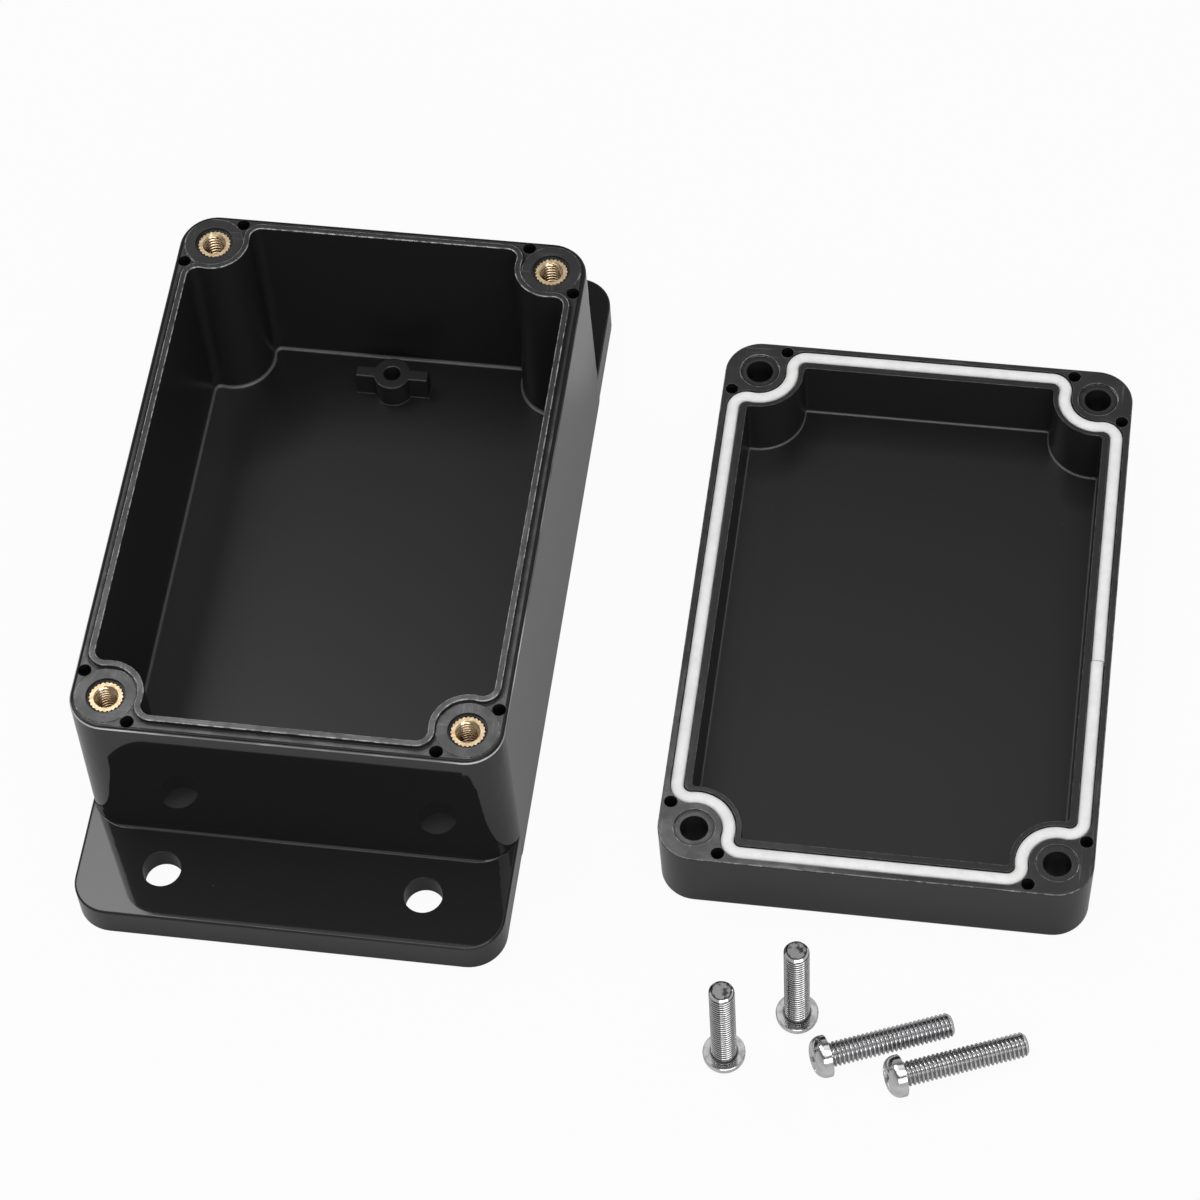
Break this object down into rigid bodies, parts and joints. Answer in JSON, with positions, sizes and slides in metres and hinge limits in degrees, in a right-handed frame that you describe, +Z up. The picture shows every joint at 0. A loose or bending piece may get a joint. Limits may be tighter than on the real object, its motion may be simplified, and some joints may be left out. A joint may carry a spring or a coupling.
{
  "type": "plastic project box",
  "caption": "Opened flanged plastic project box: tub with mounting ears and brass inserts, lid lying beside it with its seal cord, and loose pan head lid screws.",
  "frame": {"origin": "middle of the tub's underside, on the surface it stands on", "axes": "+X along the tub's short side towards the lid, +Y along its long side, +Z up out of the open rim"},
  "size_m": [0.1593, 0.1478, 0.0369],
  "materials": {
    "black_abs": "moulded high gloss, satin on the rim",
    "black_abs_lid": "moulded high gloss, satin on the rim",
    "white_seal": "soft matt cord",
    "insert_brass": "turned and knurled",
    "screw_nickel": "bright plated steel"
  },
  "bodies": {
    "root": {"enclosure_base": "black_abs", "lid": "black_abs_lid", "lid_gasket": "white_seal", "insert_front_left": "insert_brass", "insert_front_right": "insert_brass", "insert_rear_left": "insert_brass", "insert_rear_right": "insert_brass", "lid_screw_standing_left": "screw_nickel", "lid_screw_standing_right": "screw_nickel", "lid_screw_lying_left": "screw_nickel", "lid_screw_lying_right": "screw_nickel"}
  },
  "joints": []
}
